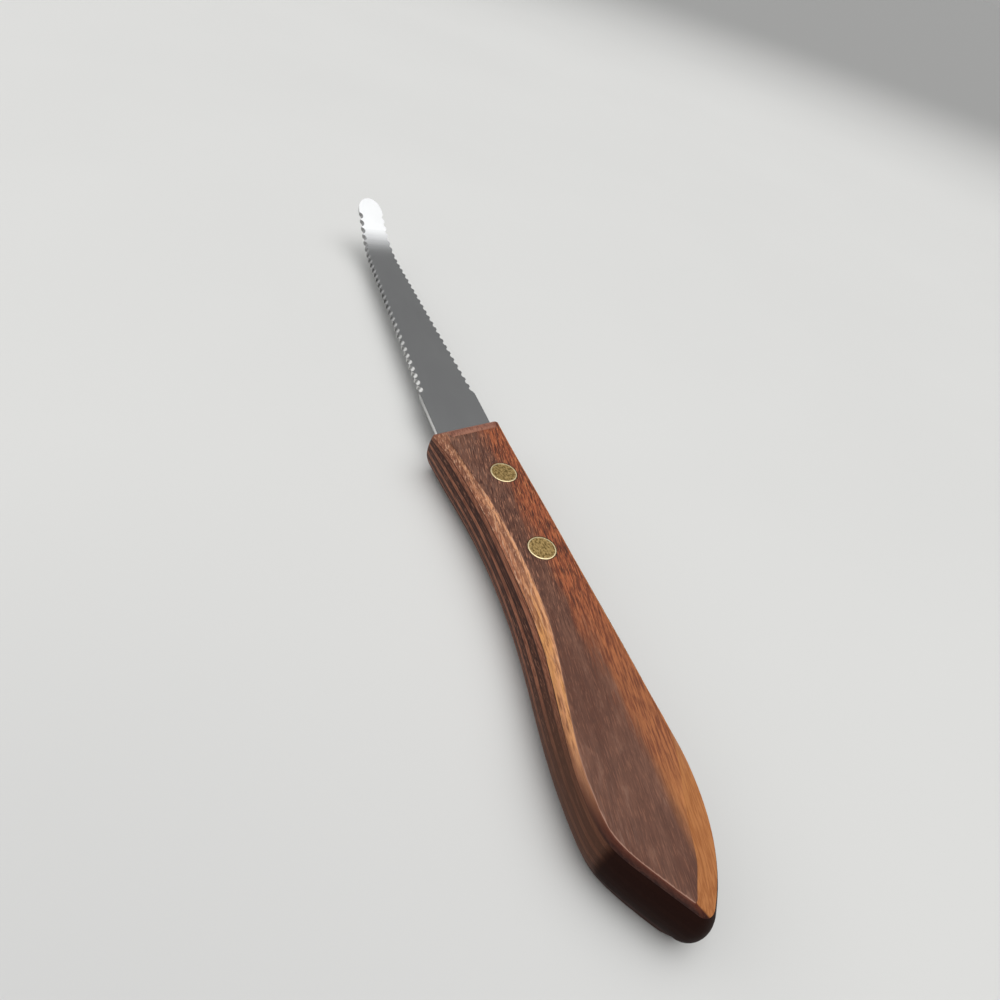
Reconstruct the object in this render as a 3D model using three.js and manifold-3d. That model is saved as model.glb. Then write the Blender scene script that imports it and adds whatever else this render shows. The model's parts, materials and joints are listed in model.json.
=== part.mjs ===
// A grapefruit knife in millimetres, +Z up, lying flat on its handle as it does on a table.
// +X runs towards the tip and +Y towards the finger side of the handle. Lengths along the knife are
// counted from the handle's front face, and side offsets from the line through its two rivets.

import * as THREE from 'three';
import { mergeVertices } from 'three/addons/utils/BufferGeometryUtils.js';
import Module from 'manifold-3d';

// Handle, seen from above, where it is widest
const HANDLE_LENGTH = 104.7;      // front face to butt
const FRONT_SLANT = 14;           // degrees that the front face leans, back side forward
const FRONT_FINGER_SIDE = 11.8;   // finger side of the rivet line, at the front
const FRONT_BACK_SIDE = 7.5;      // back side of the rivet line, at the front
const WAIST_FINGER_SIDE = 8.6;    // finger side where the grip is narrowest
const WAIST_FROM_FRONT = 37;
const BELLY_FINGER_SIDE = 12.9;   // finger side where the grip is widest
const BELLY_FROM_BUTT = 20;
const BACK_BULGE = 8.8;           // back side where it stands out most
const BACK_BULGE_FROM_BUTT = 34;
const BUTT_OFFSET = 1.6;          // butt point, towards the finger side
const BUTT_HALF_ANGLE = 46;       // degrees between the knife's axis and each side of the butt
const BUTT_RUN = 4;               // length of the rounded butt along each side
const FRONT_CORNER_RUN = 1.6;     // length of the rounded front corners along each side
const FINGER_SIDE_FLARE = 1.6;    // how far the finger side closes in over its first control arm
const SIDE_ARM = 0.42;            // control arm of the side curves, as a share of their run

// Handle, through its thickness
const PLY_THICKNESS = 0.96;
const FACE_PLY_THICKNESS = 1.4;   // the top and bottom plies
const PLIES_EACH_SIDE = 5;        // above and below the core ply, the face ply among them
const SIDE_CROWN = 1.4;           // how far the sides bulge between their bevels
const EDGE_BEVEL = 2.1;           // width of the bevel along the sides, on both faces
const FRONT_CROWN = 0.6;
const FRONT_BEVEL = 1.8;          // width of the bevel along the front edge
const BEVEL_DEPTH = 1.4;

// Blade, laid out flat before its tip is bent
const BLADE_LENGTH = 106.0;       // front of the handle to the tip
const BLADE_THICKNESS = 1.0;
const BLADE_OFFSET = 0.65;        // blade axis, towards the finger side
const HEEL_WIDTH = 14.0;
const HEEL_LENGTH = 16.1;         // plain stretch before the teeth
const HEEL_GAP = 0.2;             // between the blade's shoulders and the handle's front face
const EDGE_BOW = 0.2;             // how far each edge bows out between the heel and the point
const POINT_WIDTH = 6.8;          // where the rounded point starts
const POINT_LENGTH = 5.0;
const TOOTH_PITCH = 2.8;
const TOOTH_DEPTH = 0.65;
const TOOTH_SETBACK = 0.25;       // tooth points behind the line of the plain heel
const TIP_LENGTH = 27.3;          // stretch from the start of the bend to the tip
const BEND_ANGLE = 24;            // degrees that the tip turns up
const BEND_RADIUS = 38;

// Rivets, each a pin half from above and a tube half from below
const FRONT_RIVET_FROM_FRONT = 17.4;
const RIVET_SPACING = 20.8;
const HEAD_DIAMETER = 5.7;
const HEAD_THICKNESS = 1.1;
const TUBE_DIAMETER = 3.6;
const PIN_DIAMETER = 2.4;
const HEAD_CLEARANCE = 0.12;      // round each head
const TUBE_CLEARANCE = 0.1;       // round each tube
const PIN_CLEARANCE = 0.05;       // round each pin
const PIN_END_GAP = 0.6;          // left at the ends of the pin and the tube

// Tang, the half of the blade that sits in the handle
const TANG_WIDTH = 9.0;
const TANG_PAST_RIVET = 8;        // from the rear rivet to the end of the tang
const TANG_LAP = 3;               // how far the tang's plate runs under the heel
const NOTCH_CLEARANCE = 0.15;     // round the edge of the tang
const NOTCH_PLAY = 0.025;         // above and below the tang

// How far a cut runs past the solid that it opens
const CUT_PAST = 20;

// How finely curves are cut into facets
const OUTLINE_STEPS = 8;
const ROUND_SIDES = 24;
const TOOTH_STEPS = 4;
const POINT_STEPS = 10;

// Sizes that follow from those above
const CORE_THICKNESS = BLADE_THICKNESS + 2 * NOTCH_PLAY;
const HALF_STACK = (PLIES_EACH_SIDE - 1) * PLY_THICKNESS + FACE_PLY_THICKNESS;
const HANDLE_THICKNESS = CORE_THICKNESS + 2 * HALF_STACK;
const MID_HEIGHT = HANDLE_THICKNESS / 2;
const RIVETS = {
  front: -FRONT_RIVET_FROM_FRONT,
  rear: -FRONT_RIVET_FROM_FRONT - RIVET_SPACING,
};
const TANG_END = RIVETS.rear - TANG_PAST_RIVET;

const radians = THREE.MathUtils.degToRad;
const wasm = await Module();
wasm.setup();

// Colours and gloss of the three materials
const wood = (color) => new THREE.MeshStandardMaterial({ color, roughness: 0.55, metalness: 0 });
const steel = () => new THREE.MeshStandardMaterial({ color: 0x8b8e91, roughness: 0.3, metalness: 1 });
const brass = () => new THREE.MeshStandardMaterial({ color: 0xa8935f, roughness: 0.35, metalness: 1 });
const FACE_WOOD = 0x6b3f2c;
const DARK_WOOD = 0x5a3122;
const LIGHT_WOOD = 0x7d4a30;

// A boolean works on a closed mesh that shares its corners
function toManifold(geometry) {
  const bare = geometry.clone();
  bare.deleteAttribute('normal');
  bare.deleteAttribute('uv');
  const merged = mergeVertices(bare, 1e-4);
  return new wasm.Manifold(new wasm.Mesh({
    numProp: 3,
    vertProperties: new Float32Array(merged.attributes.position.array),
    triVerts: new Uint32Array(merged.index.array),
  }));
}

function toGeometry(manifold) {
  const mesh = manifold.getMesh();
  const geometry = new THREE.BufferGeometry();
  geometry.setAttribute('position', new THREE.BufferAttribute(mesh.vertProperties, 3));
  geometry.setIndex(new THREE.BufferAttribute(mesh.triVerts, 1));
  geometry.computeVertexNormals();
  return geometry;
}

// Skins a row of rings of equal length and closes both ends. flatten gives a ring's corner in the
// plane of the ring, turning anticlockwise when it is seen from the last ring's side.
function loft(rings, flatten) {
  const count = rings[0].length;
  const corner = (ring, i) => ring * count + (i % count);
  const triangles = [];
  for (let ring = 0; ring + 1 < rings.length; ring++) {
    for (let i = 0; i < count; i++) {
      triangles.push(corner(ring, i), corner(ring, i + 1), corner(ring + 1, i + 1));
      triangles.push(corner(ring, i), corner(ring + 1, i + 1), corner(ring + 1, i));
    }
  }
  const last = rings.length - 1;
  for (const [a, b, c] of THREE.ShapeUtils.triangulateShape(rings[0].map(flatten), [])) {
    triangles.push(corner(0, a), corner(0, c), corner(0, b));
  }
  for (const [a, b, c] of THREE.ShapeUtils.triangulateShape(rings[last].map(flatten), [])) {
    triangles.push(corner(last, a), corner(last, b), corner(last, c));
  }
  const geometry = new THREE.BufferGeometry().setFromPoints(rings.flat());
  geometry.setIndex(triangles);
  geometry.computeVertexNormals();
  return geometry;
}

// The front face leans, so its place along the knife depends on the side offset
const frontAt = (y) => -y * Math.tan(radians(FRONT_SLANT));

// The handle's outline drawn in by an inset from its sides and its front, anticlockwise: across the
// front face, back along the finger side, round the butt and forward along the back
function handleOutline(inset, frontInset) {
  const angle = radians(BUTT_HALF_ANGLE);
  const fingerY = FRONT_FINGER_SIDE - inset;
  const backY = inset - FRONT_BACK_SIDE;
  const fingerCorner = new THREE.Vector2(frontAt(fingerY) - frontInset, fingerY);
  const backCorner = new THREE.Vector2(frontAt(backY) - frontInset, backY);
  const alongFront = fingerCorner.clone().sub(backCorner).setLength(FRONT_CORNER_RUN);
  const frontStart = backCorner.clone().add(alongFront);
  const frontEnd = fingerCorner.clone().sub(alongFront);
  const fingerStart = fingerCorner.clone().setX(fingerCorner.x - FRONT_CORNER_RUN);
  const backEnd = backCorner.clone().setX(backCorner.x - FRONT_CORNER_RUN);
  const waist = new THREE.Vector2(-WAIST_FROM_FRONT, WAIST_FINGER_SIDE - inset);
  const belly = new THREE.Vector2(BELLY_FROM_BUTT - HANDLE_LENGTH, BELLY_FINGER_SIDE - inset);
  const bulge = new THREE.Vector2(BACK_BULGE_FROM_BUTT - HANDLE_LENGTH, inset - BACK_BULGE);
  const butt = new THREE.Vector2(inset / Math.sin(angle) - HANDLE_LENGTH, BUTT_OFFSET);
  const buttFinger = new THREE.Vector2(Math.cos(angle), Math.sin(angle)).setLength(BUTT_RUN).add(butt);
  const buttBack = new THREE.Vector2(Math.cos(angle), -Math.sin(angle)).setLength(BUTT_RUN).add(butt);

  const path = new THREE.Path();
  // A side curve whose ends run along the knife, or turn aside over their control arms
  const curve = (from, to, leave = 0, arrive = 0) => {
    const arm = (to.x - from.x) * SIDE_ARM;
    path.bezierCurveTo(from.x + arm, from.y + leave, to.x - arm, to.y + arrive, to.x, to.y);
  };
  const buttTurn = (run) => run * SIDE_ARM * Math.tan(angle);
  path.moveTo(frontStart.x, frontStart.y);
  path.lineTo(frontEnd.x, frontEnd.y);
  path.quadraticCurveTo(fingerCorner.x, fingerCorner.y, fingerStart.x, fingerStart.y);
  curve(fingerStart, waist, -FINGER_SIDE_FLARE, 0);
  curve(waist, belly);
  curve(belly, buttFinger, 0, buttTurn(belly.x - buttFinger.x));
  path.quadraticCurveTo(butt.x, butt.y, buttBack.x, buttBack.y);
  curve(buttBack, bulge, -buttTurn(bulge.x - buttBack.x) / 2, 0);
  curve(bulge, backEnd);
  path.quadraticCurveTo(backCorner.x, backCorner.y, frontStart.x, frontStart.y);
  const points = path.getPoints(OUTLINE_STEPS);
  points.pop();
  return points;
}

// The handle's section at a height: full width half way up, drawn in along the crowned sides and
// then along the bevels
function sectionAt(height) {
  const fromFace = Math.min(height, HANDLE_THICKNESS - height);
  const crown = Math.min(1, (MID_HEIGHT - fromFace) / (MID_HEIGHT - BEVEL_DEPTH)) ** 2;
  const bevel = Math.max(0, 1 - fromFace / BEVEL_DEPTH);
  const inset = SIDE_CROWN * crown + EDGE_BEVEL * bevel;
  const frontInset = FRONT_CROWN * crown + FRONT_BEVEL * bevel;
  return handleOutline(inset, frontInset).map((point) => new THREE.Vector3(point.x, point.y, height));
}

// A round tool along Z for a rivet hole or the seat of a head
function roundHole(x, diameter, low, high) {
  const hole = new THREE.CylinderGeometry(diameter / 2, diameter / 2, high - low, ROUND_SIDES);
  hole.rotateX(Math.PI / 2);
  hole.translate(x, 0, (low + high) / 2);
  return toManifold(hole);
}

// The tang's plate, or the notch that takes it, which is larger all round by the clearance
function tangPlate(clearance, depth, front) {
  const half = TANG_WIDTH / 2 + clearance;
  const roundAt = TANG_END - clearance + half;
  const shape = new THREE.Shape();
  shape.moveTo(front, BLADE_OFFSET - half);
  shape.lineTo(front, BLADE_OFFSET + half);
  shape.lineTo(roundAt, BLADE_OFFSET + half);
  shape.absarc(roundAt, BLADE_OFFSET, half, Math.PI / 2, Math.PI * 1.5, false);
  const plate = new THREE.ExtrudeGeometry(shape, { depth, bevelEnabled: false, curveSegments: ROUND_SIDES / 2 });
  plate.translate(0, 0, MID_HEIGHT - depth / 2);
  return toManifold(plate);
}

// One ply of the handle between two heights, with its rivet holes and the seats of the rivet heads
function handlePly(low, high) {
  const bevelEnds = [BEVEL_DEPTH, HANDLE_THICKNESS - BEVEL_DEPTH];
  const heights = [low, ...bevelEnds.filter((z) => z > low && z < high), high];
  let ply = toManifold(loft(heights.map(sectionAt), (p) => new THREE.Vector2(p.x, p.y)));
  const over = HANDLE_THICKNESS + CUT_PAST;
  for (const x of Object.values(RIVETS)) {
    const seat = HEAD_DIAMETER + 2 * HEAD_CLEARANCE;
    ply = ply.subtract(roundHole(x, TUBE_DIAMETER + 2 * TUBE_CLEARANCE, -CUT_PAST, over));
    ply = ply.subtract(roundHole(x, seat, -CUT_PAST, HEAD_THICKNESS));
    ply = ply.subtract(roundHole(x, seat, HANDLE_THICKNESS - HEAD_THICKNESS, over));
  }
  return ply;
}

// The core ply is notched from the front to take the tang
function corePly(low, high) {
  return handlePly(low, high).subtract(tangPlate(NOTCH_CLEARANCE, CUT_PAST, CUT_PAST));
}

// Half the blade's width at a distance from the handle: a parallel heel, a bowed taper, a round point
function bladeHalfWidth(along) {
  const pointStart = BLADE_LENGTH - POINT_LENGTH;
  const taper = THREE.MathUtils.clamp((along - HEEL_LENGTH) / (pointStart - HEEL_LENGTH), 0, 1);
  const bow = EDGE_BOW * 4 * taper * (1 - taper);
  const half = THREE.MathUtils.lerp(HEEL_WIDTH, POINT_WIDTH, taper) / 2 + bow;
  const intoPoint = Math.max(0, (along - pointStart) / POINT_LENGTH);
  return half * Math.sqrt(Math.max(0, 1 - intoPoint ** 2));
}

// Turns the flat blade's place along its length and height above its middle plane up round the bend
function bendTip(along, height) {
  const start = BLADE_LENGTH - TIP_LENGTH;
  const angle = THREE.MathUtils.clamp((along - start) / BEND_RADIUS, 0, radians(BEND_ANGLE));
  const past = along - start - angle * BEND_RADIUS;
  const radius = BEND_RADIUS - height;
  return [
    start + radius * Math.sin(angle) + past * Math.cos(angle),
    BEND_RADIUS - radius * Math.cos(angle) + past * Math.sin(angle),
  ];
}

// Where the blade is cut across: at every step of a tooth and round the point.
// Each entry holds the distance along the blade and the cut into its edges there.
function bladeStations() {
  const stations = [[HEEL_GAP, 0], [HEEL_LENGTH, 0]];
  const pointStart = BLADE_LENGTH - POINT_LENGTH;
  const teeth = Math.floor((pointStart - HEEL_LENGTH) / TOOTH_PITCH);
  for (let step = 1; step <= teeth * TOOTH_STEPS; step++) {
    const share = (step % TOOTH_STEPS) / TOOTH_STEPS;
    const gullet = 1 - (2 * share - 1) ** 2;
    const cut = TOOTH_SETBACK + TOOTH_DEPTH * gullet;
    stations.push([HEEL_LENGTH + step * TOOTH_PITCH / TOOTH_STEPS, cut]);
  }
  const lastTooth = stations[stations.length - 1][0];
  for (let step = 1; step < POINT_STEPS; step++) {
    const turn = Math.sin(Math.PI / 2 * step / POINT_STEPS);
    const along = THREE.MathUtils.lerp(lastTooth, BLADE_LENGTH, turn);
    stations.push([along, TOOTH_SETBACK * (1 - turn)]);
  }
  return stations;
}

// The blade: sections lofted from heel to point, with the tang joined on and the rivet holes cut
function bladeGeometry() {
  const halfThickness = BLADE_THICKNESS / 2;
  const sections = bladeStations().map(([along, cut]) => {
    const half = bladeHalfWidth(along) - cut;
    const lean = THREE.MathUtils.clamp(1 - along / HEEL_LENGTH, 0, 1);
    const corner = (side, height) => {
      const y = BLADE_OFFSET + side * half;
      const [x, z] = bendTip(along + frontAt(y) * lean, height);
      return new THREE.Vector3(x, y, MID_HEIGHT + z);
    };
    return [
      corner(-1, -halfThickness), corner(1, -halfThickness), corner(1, halfThickness), corner(-1, halfThickness),
    ];
  });
  let blade = toManifold(loft(sections, (p) => new THREE.Vector2(p.y, p.z)));
  blade = blade.add(tangPlate(0, BLADE_THICKNESS, TANG_LAP));
  for (const x of Object.values(RIVETS)) {
    blade = blade.subtract(roundHole(x, TUBE_DIAMETER + 2 * TUBE_CLEARANCE, 0, HANDLE_THICKNESS));
  }
  return toGeometry(blade);
}

// A turned piece from a profile of [radius, height] corners that starts and ends on its axis
function turned(profile, x) {
  const geometry = new THREE.LatheGeometry(profile.map(([r, z]) => new THREE.Vector2(r, z)), ROUND_SIDES);
  geometry.rotateX(Math.PI / 2);
  geometry.translate(x, 0, 0);
  return geometry;
}

// The rivet's pin half: its head lies flush with the top face and its pin reaches down the tube
function rivetPin(x) {
  const head = HEAD_DIAMETER / 2;
  const pin = PIN_DIAMETER / 2;
  const under = HANDLE_THICKNESS - HEAD_THICKNESS;
  const end = HEAD_THICKNESS + PIN_END_GAP;
  return turned([[0, end], [pin, end], [pin, under], [head, under], [head, HANDLE_THICKNESS],
    [0, HANDLE_THICKNESS]], x);
}

// The rivet's tube half: its head lies flush with the underside and its tube takes the pin
function rivetTube(x) {
  const head = HEAD_DIAMETER / 2;
  const tube = TUBE_DIAMETER / 2;
  const bore = PIN_DIAMETER / 2 + PIN_CLEARANCE;
  const end = HANDLE_THICKNESS - HEAD_THICKNESS - PIN_END_GAP;
  return turned([[0, 0], [head, 0], [head, HEAD_THICKNESS], [tube, HEAD_THICKNESS], [tube, end],
    [bore, end], [bore, HEAD_THICKNESS], [0, HEAD_THICKNESS]], x);
}

const knife = new THREE.Group();

function addPart(name, geometry, material) {
  const mesh = new THREE.Mesh(geometry, material);
  mesh.name = name;
  knife.add(mesh);
}

// The plies, from the underside up
const plyCount = 2 * PLIES_EACH_SIDE + 1;
let height = 0;
for (let index = 0; index < plyCount; index++) {
  const isCore = index === PLIES_EACH_SIDE;
  const isFace = index === 0 || index === plyCount - 1;
  const innerThickness = isCore ? CORE_THICKNESS : PLY_THICKNESS;
  const top = height + (isFace ? FACE_PLY_THICKNESS : innerThickness);
  const ply = isCore ? corePly(height, top) : handlePly(height, top);
  const tone = index % 2 ? LIGHT_WOOD : DARK_WOOD;
  const name = isCore ? 'core_ply' : `ply_${index + 1}`;
  addPart(name, toGeometry(ply), wood(isFace ? FACE_WOOD : tone));
  height = top;
}
addPart('blade', bladeGeometry(), steel());
for (const [place, x] of Object.entries(RIVETS)) {
  addPart(`${place}_rivet_pin`, rivetPin(x), brass());
  addPart(`${place}_rivet_tube`, rivetTube(x), brass());
}

// The origin is under the middle of the whole knife, on the table
const box = new THREE.Box3().setFromObject(knife);
const middle = box.getCenter(new THREE.Vector3());
knife.position.set(-middle.x, -middle.y, -box.min.z);

export default knife;
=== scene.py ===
# %% [markdown]
# # A grapefruit knife on a pale table
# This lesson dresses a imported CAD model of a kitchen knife: a thin blade with teeth along both
# edges and a turned-up tip, held by two brass rivets in a handle glued up from eleven veneers.
# The CAD model is loaded first and stays where it is. Every piece that we model takes the place of
# one CAD solid, so we keep asking the frame where that solid lies instead of guessing.

# %% Load the frame
import json
import math
import bmesh
import bpy
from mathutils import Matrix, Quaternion, Vector


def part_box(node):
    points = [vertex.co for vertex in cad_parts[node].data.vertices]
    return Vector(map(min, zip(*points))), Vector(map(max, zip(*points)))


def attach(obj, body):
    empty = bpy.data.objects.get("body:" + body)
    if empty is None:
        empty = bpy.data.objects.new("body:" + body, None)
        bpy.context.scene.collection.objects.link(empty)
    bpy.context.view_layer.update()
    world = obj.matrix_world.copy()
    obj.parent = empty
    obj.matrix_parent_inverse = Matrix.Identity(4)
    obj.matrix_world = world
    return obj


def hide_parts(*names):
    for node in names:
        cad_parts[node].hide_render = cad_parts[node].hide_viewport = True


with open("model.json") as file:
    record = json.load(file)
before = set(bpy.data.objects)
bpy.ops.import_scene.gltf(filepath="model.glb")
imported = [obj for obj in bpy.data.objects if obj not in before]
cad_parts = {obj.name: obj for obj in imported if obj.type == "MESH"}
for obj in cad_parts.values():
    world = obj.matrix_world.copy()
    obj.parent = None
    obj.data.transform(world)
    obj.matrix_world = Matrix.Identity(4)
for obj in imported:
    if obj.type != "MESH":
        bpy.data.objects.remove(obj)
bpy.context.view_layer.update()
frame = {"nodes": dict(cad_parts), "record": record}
MM = 0.001
print("CAD nodes:", sorted(frame["nodes"]))

# %% [markdown]
# Operators work on whatever is selected, and loading left every CAD node selected. These helpers
# keep that under control: one makes an object the only selected one, one picks parts of a mesh by
# a test on their place, and one adds a modifier and applies it at once. The others name steps that
# come up again and again, such as settling an object's place and scale into its mesh.


# %% Helpers for selecting
def deselect():
    bpy.ops.object.select_all(action="DESELECT")


def only(piece):
    deselect()
    piece.select_set(True)
    bpy.context.view_layer.objects.active = piece
    return piece


def start_edit(piece):
    only(piece)
    bpy.ops.object.mode_set(mode="EDIT")
    bpy.ops.mesh.select_all(action="SELECT")


def end_edit():
    bpy.ops.object.mode_set(mode="OBJECT")


def middle(part):
    if isinstance(part, bmesh.types.BMVert):
        return part.co
    return sum((v.co for v in part.verts), Vector()) / len(part.verts)


def faces_up(face, way=1):
    return face.normal.z * way > 0.9


def pick(kind, test):
    bpy.ops.mesh.select_mode(type=kind)
    bpy.ops.mesh.select_all(action="DESELECT")
    shape = bmesh.from_edit_mesh(bpy.context.edit_object.data)
    parts = {"VERT": shape.verts, "EDGE": shape.edges, "FACE": shape.faces}[kind]
    count = 0
    for part in parts:
        if not part.hide and test(part):
            part.select_set(True)
            count += 1
    shape.select_flush_mode()
    bmesh.update_edit_mesh(bpy.context.edit_object.data)
    return count


print("selecting helpers ready")


# %% Helpers for shaping
def extrude(up):
    bpy.ops.mesh.extrude_region_move(TRANSFORM_OT_translate={"value": (0, 0, up)})


def face_outwards():
    bpy.ops.mesh.select_all(action="SELECT")
    bpy.ops.mesh.normals_make_consistent(inside=False)


def settle(piece):
    only(piece)
    bpy.ops.object.transform_apply(location=True, rotation=True, scale=True)


def apply_modifier(piece, kind, **settings):
    only(piece)
    modifier = piece.modifiers.new(kind.title(), kind)
    for setting, value in settings.items():
        setattr(modifier, setting, value)
    bpy.ops.object.modifier_apply(modifier=modifier.name)


def cut_away(piece, tool):
    apply_modifier(piece, "BOOLEAN", object=tool, operation="DIFFERENCE", solver="EXACT")
    bpy.data.objects.remove(tool)


def copy_of(piece, name):
    only(piece)
    bpy.ops.object.duplicate()
    twin = bpy.context.object
    twin.name = name
    return twin


print("shaping helpers ready")

# %% [markdown]
# All of our sizes are read from the photograph in millimetres, counted along the knife from the
# middle of the handle's front face and sideways from the line through the two rivets. The frame
# knows where the rivets are, so a small function turns such a place into metres.

# %% Where the knife lies
FRONT_RIVET_FROM_FRONT = 17.4
pin_low, pin_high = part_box("front_rivet_pin")
FRONT_X = (pin_low.x + pin_high.x) / 2 + FRONT_RIVET_FROM_FRONT * MM
RIVET_Y = (pin_low.y + pin_high.y) / 2
TOP_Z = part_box("ply_11")[1].z
MID_Z = TOP_Z / 2


def place(x, y, z=0.0):
    return Vector((FRONT_X + x * MM, RIVET_Y + y * MM, z))


print("handle front at", round(FRONT_X / MM, 2), "mm, top face at", round(TOP_Z / MM, 2), "mm")

# %% [markdown]
# ## The handle
# The handle was sawn from a block of glued veneers and then shaped on a sanding belt, so its form
# is one smooth whole and the plies only show where the belt has run through them. We do the same:
# one outline, one closed form, and only then slices.
# The outline is a Bézier circle that is cut into eight points. Each point is dragged to a place
# where the real handle turns: the two front corners, the waist under the fingers, the belly, the
# two ends of the rounded butt, and the back. A curve gives smooth sides with very few points.

# %% Draw the outline
HANDLE_TURNS = [
    # point, handle before it, handle after it
    ((1.82, -7.3), (-9.0, -7.5), (0.2, -0.9)),      # front corner at the back
    ((-2.85, 11.4), (-1.4, 5.7), (-16.0, 10.3)),    # front corner at the fingers
    ((-37.0, 8.6), (-22.8, 8.6), (-59.5, 8.6)),     # waist
    ((-84.7, 12.9), (-68.0, 12.9), (-91.2, 12.9)),  # belly
    ((-102.3, 4.4), (-92.2, 12.1), (-104.0, 3.1)),  # butt, finger side
    ((-102.1, -0.7), (-103.8, 0.74), (-94.1, -7.82)),  # butt, back side
    ((-70.7, -8.8), (-84.5, -8.8), (-57.0, -8.8)),  # where the back bulges
    ((-30.0, -8.0), (-43.0, -8.3), (-18.0, -7.7)),  # straight of the back
]
OUTLINE_STEPS = 28
deselect()
bpy.ops.curve.primitive_bezier_circle_add(radius=MM, location=(0, 0, MID_Z))
outline = bpy.context.object
bpy.ops.object.mode_set(mode="EDIT")
bpy.ops.curve.select_all(action="SELECT")
bpy.ops.curve.subdivide()
bpy.ops.object.mode_set(mode="OBJECT")
for point, (spot, before, after) in zip(outline.data.splines[0].bezier_points, HANDLE_TURNS):
    point.handle_left_type = "FREE"
    point.handle_right_type = "FREE"
    point.co = place(*spot)
    point.handle_left = place(*before)
    point.handle_right = place(*after)
outline.data.resolution_u = OUTLINE_STEPS
bpy.ops.object.convert(target="MESH")
handle = bpy.context.object
print("outline with", len(handle.data.vertices), "corners")

# %% [markdown]
# The filled outline is the widest section, half way up. Insetting it again and again, each time a
# little higher, builds the crowned side; the amounts follow a parabola so that the side starts
# upright. The front face is flatter than the sides, so after every inset its two corners are slid
# back out a little. One higher inset makes the bevel round the top face, and three flat ones round
# off its rim. At the front the rim goes farther in, for the wider slope there.
# An inset folds over where points sit closer to a corner than it goes in, so the points next to
# the two front corners are dissolved first.

# %% Raise the crowned side and the bevel
HAIR = 1e-6  # in metres: places closer than this count as one
SIDE_CROWN = 1.4
FRONT_CROWN = 0.6
CROWN_STEPS = 8
BEVEL_DEPTH = 1.4
RIM_STEPS = [(0.75, 1.27), (0.14, 0.08), (0.16, 0.04), (0.18, 0.01)]  # bevel, then its rounded rim
FRONT_STEPS = [1.2, 1.85, 0.16, 0.18]
FRONT_SLANT = math.radians(14)
FRONT_LINE = Vector((math.cos(FRONT_SLANT), math.sin(FRONT_SLANT), 0))
FRONT_REACH = 5.0
CORNER_CLEARING = 8.0
crown_height = MID_Z - BEVEL_DEPTH * MM
front_corners = [place(*HANDLE_TURNS[0][0]), place(*HANDLE_TURNS[1][0])]


def from_corner(spot):
    return min((spot.xy - corner.xy).length for corner in front_corners)


def behind_front(spot):
    return (place(0, 0) - spot).dot(FRONT_LINE)


def slide_front(level, distance):
    pick("VERT", lambda v: abs(v.co.z - level) < 10 * HAIR and behind_front(v.co) < FRONT_REACH * MM)
    bpy.ops.transform.translate(value=(distance * MM / FRONT_LINE.x, 0, 0))
    pick("FACE", lambda f: faces_up(f) and abs(middle(f).z - level) < 10 * HAIR)


start_edit(handle)
bpy.ops.mesh.remove_doubles(threshold=HAIR)
pick("VERT", lambda v: 10 * HAIR < from_corner(v.co) < CORNER_CLEARING * MM)
bpy.ops.mesh.dissolve_verts()
bpy.ops.mesh.select_all(action="SELECT")
bpy.ops.mesh.edge_face_add()
if bmesh.from_edit_mesh(handle.data).faces[:][0].normal.z < 0:
    bpy.ops.mesh.flip_normals()
for step in range(1, CROWN_STEPS + 1):
    share = (step ** 2 - (step - 1) ** 2) / CROWN_STEPS ** 2
    bpy.ops.mesh.inset(thickness=SIDE_CROWN * share * MM, depth=crown_height / CROWN_STEPS,
                       use_boundary=True)
    slide_front(crown_height * step / CROWN_STEPS, (SIDE_CROWN - FRONT_CROWN) * share)
height = crown_height
for (inward, upward), front_inward in zip(RIM_STEPS, FRONT_STEPS):
    bpy.ops.mesh.inset(thickness=inward * MM, depth=upward * MM, use_boundary=True)
    height += upward * MM
    slide_front(height, inward - front_inward)
end_edit()
half_top = max(v.co.z for v in handle.data.vertices)
print("half a handle,", round((MID_Z + half_top) / MM, 2), "mm high")

# %% [markdown]
# The bevel is not the same all round: it is broad along the waist, where fingers rest, narrow on
# the belly, and a wide worn flat on the back of the butt. With soft (proportional) editing we take
# hold of one corner of the top face's rim and pull it inwards, and its neighbours follow less and
# less. Connected falloff counts the distance along the mesh, and everything below the rim is hidden
# meanwhile, and along the sides also the rim's other side, so that nothing else moves.

# %% Pull the bevel to its width
RIM_PULLS = [
    # place on the rim, pull, reach along the rim
    ((-42.0, 7.0), (0.0, -1.4), 36.0),
    ((-12.0, -5.5), (0.0, 0.3), 26.0),
    ((-55.0, -6.5), (0.0, 0.4), 40.0),
    ((-92.5, -4.0), (1.2, 2.9), 18.0),
    ((-100.5, 1.8), (0.7, 0.6), 6.0),
]
RIM_MIDDLE = 2.2
RIM_DEPTH = 0.2
BUTT_START = -85.0
rim_z = MID_Z - RIM_DEPTH * MM
rim_middle = place(0, RIM_MIDDLE).y


def soft_move(move, reach):
    bpy.ops.transform.translate(value=move, use_proportional_edit=True, use_proportional_connected=True,
                                proportional_edit_falloff="SMOOTH", proportional_size=reach * MM)


start_edit(handle)
for spot, pull, reach in RIM_PULLS:
    grip = place(*spot)
    side = 1 if spot[1] > RIM_MIDDLE else -1
    at_butt = spot[0] < BUTT_START
    pick("VERT", lambda v: v.co.z > rim_z and (at_butt or (v.co.y - rim_middle) * side > 0))
    bpy.ops.mesh.hide(unselected=True)
    rim = [v.co.copy() for v in bmesh.from_edit_mesh(handle.data).verts if not v.hide]
    nearest = min(rim, key=lambda corner: (corner.xy - grip.xy).length)
    pick("VERT", lambda v: (v.co - nearest).length < HAIR / 10)
    soft_move((pull[0] * MM, pull[1] * MM, 0), reach)
    bpy.ops.mesh.reveal(select=False)
end_edit()
print("rim pulled in", len(RIM_PULLS), "places")

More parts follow.
